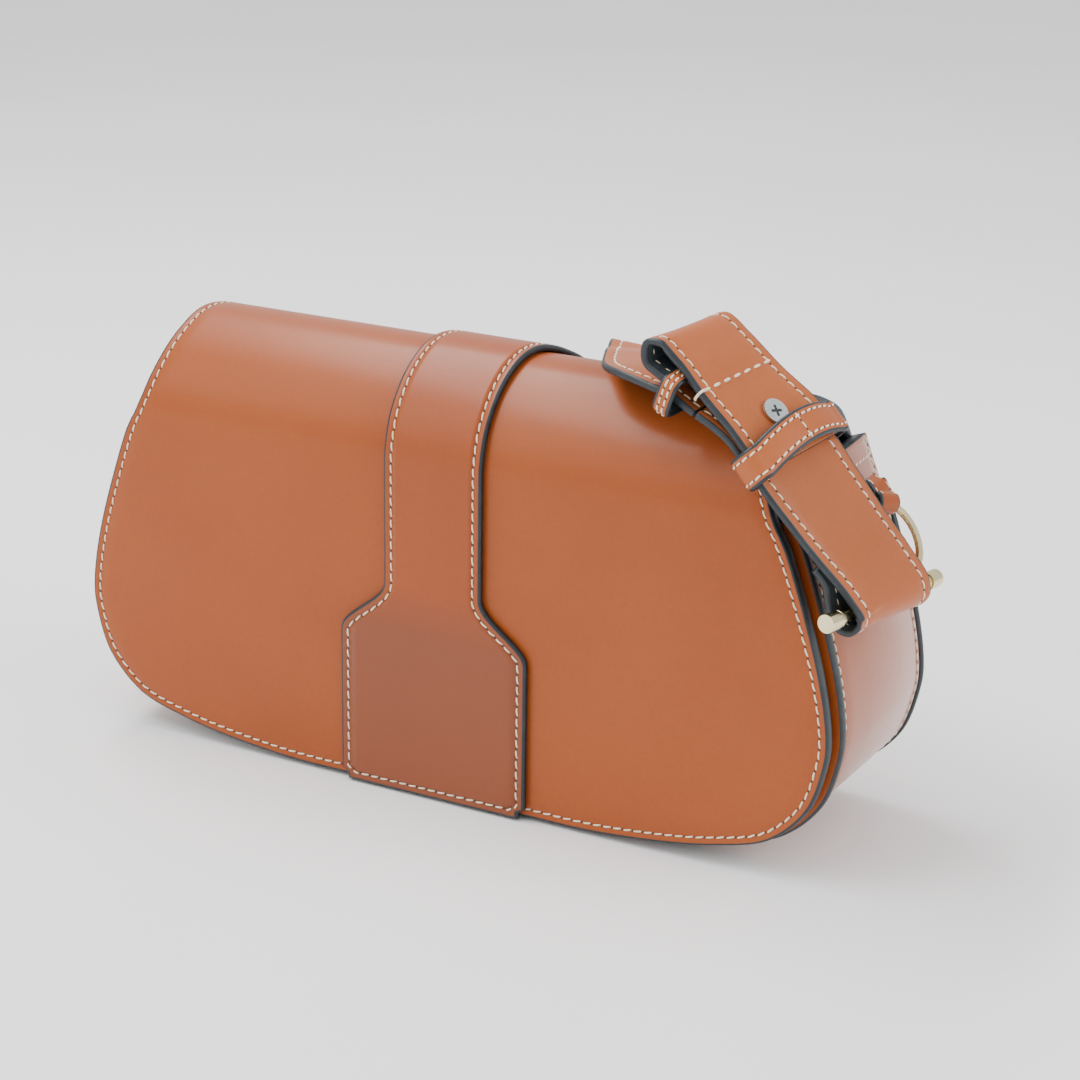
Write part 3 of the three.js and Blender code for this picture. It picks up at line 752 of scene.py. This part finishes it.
def wrap_stops(angles):
    """Stops round the right toggle bar, at angles in degrees."""
    found = []
    for degrees in angles:
        a = math.radians(degrees)
        x, height = RIGHT_BAR_X + WRAP * math.cos(a), RIGHT_BAR_HEIGHT + WRAP * math.sin(a)
        found.append(stop(x, RIGHT_BAR_DEPTH, height, 0.19, 0.98, -0.026))
    return found


hanger_stops = raised([
    stop(86.2, 9.2, 133.8, 0.2, 0.97, 0.03), stop(92.6, 8.8, 131.4, 0.24, 0.96, 0.05),
    stop(98.7, 8.3, 128.4, 0.28, 0.95, 0.07), stop(103.2, 8.1, 124.4, 0.27, 0.95, 0.09),
    stop(108.3, 8, 118.9, 0.26, 0.95, 0.1), stop(115, 9.4, 110.2, 0.22, 0.97, 0.08),
]) + [
    stop(124, 12.3, 100.9, 0.2, 0.98, 0.04), stop(131.6, 14.9, 90.8, 0.19, 0.98, -0.01),
    *wrap_stops([25, -15, -55, -95, -135, -170]),
    stop(124, 14.9, 91.6, 0.19, 0.98, 0), stop(120.4, 13.2, 98.4, 0.2, 0.97, 0.03),
]
adjuster_stops = raised([
    stop(78.6, 10, 138.7, 0.15, 0.98, 0.02), stop(73.4, 10.2, 140.9, 0.14, 0.99, 0.02),
    stop(69.6, 10.3, 144, 0.14, 0.99, 0.02), stop(69.8, 10.3, 149.4, 0.14, 0.99, 0.02),
    stop(74.4, 10.2, 150.8, 0.14, 0.99, 0.02), stop(81, 10, 146.4, 0.15, 0.98, 0.02),
    stop(90.4, 9.1, 138.2, 0.22, 0.97, 0.03), stop(100.1, 8, 131, 0.28, 0.95, 0.06),
    stop(105.4, 7.4, 126.2, 0.28, 0.95, 0.09), stop(109.4, 7.1, 122, 0.26, 0.95, 0.1),
])
LEFT_BAR_X, LEFT_BAR_DEPTH, LEFT_STRAP_HEIGHT = -135.8, 36, 49
left_wrap = []
for degrees in (180, 225, 270, 315, 350):
    a = math.radians(degrees)
    x, depth = LEFT_BAR_X + WRAP * math.cos(a), LEFT_BAR_DEPTH + WRAP * math.sin(a)
    left_wrap.append(stop(x, depth, LEFT_STRAP_HEIGHT, 0, 0, 1))
long_stops = [
    stop(87.3, 9.3, 135.2, -0.2, -0.97, -0.02), stop(80, 10, 138.6, -0.17, -0.98, -0.02),
    stop(73.4, 10.4, 139.8, -0.17, -0.98, -0.01), stop(67, 12.4, 140.4, -0.17, -0.98, 0.02),
    stop(58.5, 28.5, 138, -0.22, -0.96, 0.16), stop(51.5, 43.8, 134.2, -0.29, -0.93, 0.23),
    stop(45, 58.2, 129.4, -0.34, -0.86, 0.39), stop(37.5, 70.6, 119, -0.34, -0.68, 0.65),
    stop(27, 78.6, 108.2, -0.23, -0.54, 0.81), stop(15, 81.6, 98.8, -0.11, -0.37, 0.92),
    stop(0.5, 83, 92, -0.03, -0.2, 0.97), stop(-16, 83.5, 86.5, 0, -0.05, 1), stop(-34, 85, 80, 0, 0, 1),
    stop(-62, 85.5, 69, 0, 0, 1), stop(-90, 83, 58, 0, 0, 1), stop(-114, 79, 51.5, 0, 0, 1),
    stop(-131, 70, 49.4, 0, 0, 1), stop(-139.6, 56, 49, 0, 0, 1), stop(-141.2, 44, 49, 0, 0, 1), *left_wrap,
    stop(-130.8, 46, 49, 0, 0, 1), stop(-132.4, 54, 49, 0, 0, 1),
]


def strap(name, stops, nodes, body=None, steps=150):
    """A strap along its stops, with a stitch row near each edge on both faces."""
    made = strip_route(stops, steps=steps)
    o = strip_object(name, made, TAN_STRAP, EDGE, under=FLESH)
    leather_piece(o, body, nodes)
    half = made.width / 2 - STRAP_INSET
    rows = [made.row(half), made.row(-half), made.row(half, under=True), made.row(-half, under=True)]
    thread = stitches(name + "_stitches", rows, body)
    return made, o, thread


strap("hanger_strap_leather", hanger_stops, ("hanger_strap",), "right_strap")
adjuster, _, _ = strap("adjuster_strap_leather", adjuster_stops, ("adjuster_strap",), "right_strap")
_, long_piece, long_thread = strap("long_strap_leather", long_stops, ("strap_lead", "strap_rear"), steps=320)
for o in (long_piece, long_thread):
    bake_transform(o)

# A waxed tack line across the adjuster's upper leg, wrapped over its near edge.
tack_place = at(88.5, 9.2, 139.6) + CLEAR
tack_at = min(range(len(adjuster.place)), key=lambda i: np.linalg.norm(adjuster.place[i] - tack_place))
tack = [(adjuster.point(tack_at, a, 0), adjuster.up[tack_at]) for a in np.linspace(-0.985, 0.9, 24)]
stitches("tack_stitches", [tack], "right_strap", pitch=4.4, radius=0.42, slant=0.05)


def circle(centre, axis, hint, radius, sides):
    """Points round an axis."""
    u = unit(np.cross(axis, hint))
    v = np.cross(axis, u)
    angles = np.linspace(0, 2 * math.pi, sides + 1)[:-1]
    return [centre + (u * math.cos(a) + v * math.sin(a)) * radius for a in angles]


def lofted(rings):
    """The vertices and faces of a closed solid through rings of equal counts."""
    sides, last = len(rings[0]), len(rings) - 1
    faces = []
    for i in range(last):
        for j in range(sides):
            k = (j + 1) % sides
            faces.append((i * sides + j, i * sides + k, (i + 1) * sides + k, (i + 1) * sides + j))
    faces += [tuple(range(sides)), tuple(last * sides + j for j in range(sides))]
    return [v for ring in rings for v in ring], faces


def tube(name, points, radius, mat, body, sides=10):
    """A round thread or wire along a few points."""
    rings = []
    for i, p in enumerate(points):
        along = unit(points[min(i + 1, len(points) - 1)] - points[max(i - 1, 0)])
        rings.append(circle(p, along, (0.3, 0.2, 0.93), radius, sides))
    o = make_object(name, *lofted(rings), [mat])
    outward(o)
    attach(o, body)


# (across, drop) of the loop over the strap's near edge
tack_edge = [(-0.9, -0.1), (-0.97, -0.2), (-1.015, 0.3), (-1.02, 1.2), (-1.01, 2.2), (-0.98, 3.4),
             (-0.93, 4.2)]
tube("tack_loop", [adjuster.point(tack_at, a, d) for a, d in tack_edge], 0.4, THREAD_MAT, "right_strap")


def keeper(node, along, across, inside, height, length, wall, bulge, lean=0.0):
    """A sewn leather band round the straps, bowed on its outer side; node and body share a name."""
    name = node + "_leather"
    low, high = box_mm(node)
    centre = (low + high) / 2
    along = unit(along)
    side = unit(np.array(across) - along * np.dot(across, along))
    up = np.cross(along, side)
    up = up if up[2] > 0 else -up
    x, y, r = inside / 2 + wall, height / 2 + wall, wall + 2.2
    made = Strip(length, wall)
    for cx, cy, a0 in ((x - r, y - r, 0), (-x + r, y - r, 90), (-x + r, -y + r, 180), (x - r, -y + r, 270)):
        for step in range(9):
            a = math.radians(a0 + 90 * step / 8)
            made.add(centre + side * (cx + r * math.cos(a)) + up * (cy + r * math.sin(a)), along,
                     side * math.cos(a) + up * math.sin(a))
        if a0 in (0, 180):
            sign = 1 if a0 == 0 else -1
            for step in range(1, 24):
                u = 1 - 2 * step / 24
                bow = 1 - u * u if a0 == 0 else 0
                place = centre + side * (sign * u * (x - r)) + up * (sign * y + bulge * bow)
                made.add(place - along * (lean * bow), along, up * sign, 0.25)
    o = strip_object(name, made, TAN_STRAP, EDGE, seam=None, closed=True, middle=5, under=FLESH)
    leather_piece(o, node, (node,))
    inset = length / 2 - 1.9
    loop = made.row(inset)
    other = made.row(-inset)
    stitches(name + "_stitches", [loop + loop[:1], other + other[:1]], node, pitch=2.7, sink=0.04)
    seam_at = 20
    seam = [(made.point(seam_at, a, 0), made.up[seam_at]) for a in np.linspace(-0.9, 0.9, 8)]
    stitches(name + "_seam", [seam], node, pitch=2.4, radius=0.26, sink=0.05)


keeper("upper_keeper", (0.68, -0.02, -0.73), (0.26, 0.95, 0.1), inside=36.4, height=6.6, length=9.8, wall=1.8,
       bulge=3.2, lean=2.0)
keeper("rear_keeper", (0.92, -0.06, -0.35), (0.15, 0.98, 0.02), inside=40, height=9.4, length=5.4, wall=1.2,
       bulge=0.5)

# ---- Hardware --------------------------------------------------------------------------------------
HARDWARE = {
    "brass": (BRASS, ("right_ring", "left_ring", "right_toggle_bar", "left_toggle_bar")),
    "steel": (STEEL, ("adjuster_screw", "snap_plate", "snap_socket", "snap_washer")),
    "suede_lining": (FLESH, ("inner_pocket",)),
}
for slot, mat, node in [(slot, mat, node) for slot, (mat, nodes) in HARDWARE.items() for node in nodes]:
    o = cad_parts[node]
    o.data.materials.clear()
    o.data.materials.append(mat)
    bevel = o.modifiers.new("rounded", "BEVEL")
    bevel.width = 0.4 * MM
    bevel.segments = 3
    bevel.limit_method = "ANGLE"
    bevel.angle_limit = math.radians(40)
    for p in o.data.polygons:
        p.use_smooth = True


SCREW_AXIS = unit((0.66009, -0.24503, 0.7101))
RECESS_ARM, RECESS_HALF, RECESS_PROUD, RECESS_DEEP = 1.75, 0.42, 0.03, 0.4


def screw_recess():
    """The cross recess in the adjuster screw's head, a near-black solid painted as the shade inside it, which
    turns with the screw.
    """
    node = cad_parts["adjuster_screw"]
    points = np.array([node.matrix_world @ v.co for v in node.data.vertices]) / MM
    reach = points @ SCREW_AXIS
    top = points[reach > reach.max() - 0.02].mean(axis=0)
    u = unit(np.cross(SCREW_AXIS, (0.5, 0.8, 0)))
    v = np.cross(SCREW_AXIS, u)
    outline = []
    for turn in range(4):
        a, b = (u, v, -u, -v)[turn], (v, -u, -v, u)[turn]
        outline += [a * RECESS_ARM - b * RECESS_HALF, a * RECESS_ARM + b * RECESS_HALF]
        outline.append((a + b) * RECESS_HALF)
    count = len(outline)
    verts = [top + p + SCREW_AXIS * h for h in (RECESS_PROUD, -RECESS_DEEP) for p in outline]
    faces = [tuple(range(count)), tuple(range(2 * count - 1, count - 1, -1))]
    faces += [(i, i + count, (i + 1) % count + count, (i + 1) % count) for i in range(count)]
    o = make_object("screw_recess", verts, faces, [RECESS], smooth=False)
    outward(o)
    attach(o, "adjuster_screw")


screw_recess()


def ring_tab(side, top, wire, root, sign):
    """A leather loop that holds a ring, sewn to the gusset's upper end."""
    wire = unit(wire)
    out = unit(np.array([sign, 0, 0.15]) - wire * np.dot((sign, 0, 0.15), wire))
    up = unit(np.cross(wire, out)) * sign
    up = up if up[2] > 0 else -up
    route = [root, root * 0.55 + (top + up * 3.3) * 0.45 + out * 0.9]
    for degrees in (78, 40, 0, -45, -90, -135, -180):
        a = math.radians(degrees)
        route.append(top + (out * math.cos(a) + up * math.sin(a)) * 3.4)
    route.append(root * 0.5 + top * 0.5 - out * 2.2 + up * 1.5)
    across = wire * (1 if np.dot(np.cross(unit(route[1] - route[0]), wire), out) > 0 else -1)
    made = strip_route([(p, across) for p in route], width=8.4, thick=1.3, steps=60)
    o = strip_object(side + "_ring_tab_leather", made, TAN, EDGE, seam=None, under=FLESH)
    leather_piece(o, "bag", (side + "_ring_tab",))
    rows = [made.row(across_mm, last=22) for across_mm in (-2.9, 2.9)]
    stitches(side + "_ring_tab_stitches", rows, "bag", pitch=2.6, radius=0.24, sink=0.05)


ring_tab("right", at(117.2, 50, 98), (0.34288, 0.90603, -0.24807), at(113, 50, 105), 1)
ring_tab("left", at(-118.4, 40, 98), (-0.04229, 0.99586, -0.08043), at(-114.2, 40, 105), -1)


def collars(side, near, far, axis_inset):
    """The turned collars behind a toggle bar's knobs."""
    way = unit(far - near)
    for label, place in (("near", near + way * axis_inset), ("far", far - way * axis_inset)):
        rings = [circle(place + way * reach, way, (0.1, 0.3, 0.9), radius, 40)
                 for reach, radius in ((-0.6, 2.15), (-0.45, 2.4), (0.45, 2.4), (0.6, 2.15))]
        o = make_object(side + "_collar_" + label, *lofted(rings), [BRASS], smooth=False)
        outward(o)
        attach(o, "right_strap" if side == "right" else "bag")


collars("right", at(126.6, -9.5, 82.2), at(136.6, 44, 80.8), 6.2)
collars("left", at(-135.8, 36, 25), at(-135.8, 36, 78), 6.2)

# ---- Stage, light and camera -----------------------------------------------------------------------
FLOOR_REACH = 4000
FLOOR_MAT = simple("floor", (0.94, 0.94, 0.94), (0.97, 0.97, 0.97), 6, rough=(0.7, 0.8), bump=0.0)
corners = [(x * FLOOR_REACH, y * FLOOR_REACH, 0) for x, y in ((-1, -1), (1, -1), (1, 1), (-1, 1))]
make_object("floor", corners, [(0, 1, 2, 3)], [FLOOR_MAT])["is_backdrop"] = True

world = bpy.data.worlds.new("studio")
world.use_nodes = True
world.node_tree.nodes["Background"].inputs["Color"].default_value = (1, 1, 1, 1)
world.node_tree.nodes["Background"].inputs["Strength"].default_value = 1.05
bpy.context.scene.world = world


def area_light(name, place, target, size, power, colour=(1, 1, 1)):
    """A rectangular light in metres, turned to its target."""
    data = bpy.data.lights.new(name, "AREA")
    data.shape = "RECTANGLE"
    data.size, data.size_y = size
    data.energy = power
    data.color = colour
    o = bpy.data.objects.new(name, data)
    o.location = place
    o.rotation_mode = "QUATERNION"
    o.rotation_quaternion = (Vector(target) - Vector(place)).to_track_quat("-Z", "Y")
    bpy.context.scene.collection.objects.link(o)


area_light("top_light", (-0.42, -0.06, 0.95), (0, 0, 0.12), (1.3, 0.24), 13)
area_light("front_light", (-0.7, -1.0, 0.7), (0, 0, 0.06), (0.8, 0.8), 5, (1, 0.98, 0.95))
area_light("right_light", (1.0, 0.1, 0.55), (0.12, 0, 0.08), (0.6, 0.7), 6)

camera = bpy.data.cameras.new("camera")
camera.sensor_width = 36
camera.lens = 93.1
camera_object = bpy.data.objects.new("camera", camera)
camera_right = (0.87309, 0.48738, 0.01366)
camera_up = (-0.16934, 0.27685, 0.94587)
camera_back = (0.45722, -0.82814, 0.32425)
turn = Matrix((camera_right, camera_up, camera_back)).transposed()
camera_object.matrix_world = Matrix.Translation(Vector((395.03, -688.97, 343.20)) * MM) @ turn.to_4x4()
bpy.context.scene.collection.objects.link(camera_object)
bpy.context.scene.camera = camera_object

low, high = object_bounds()
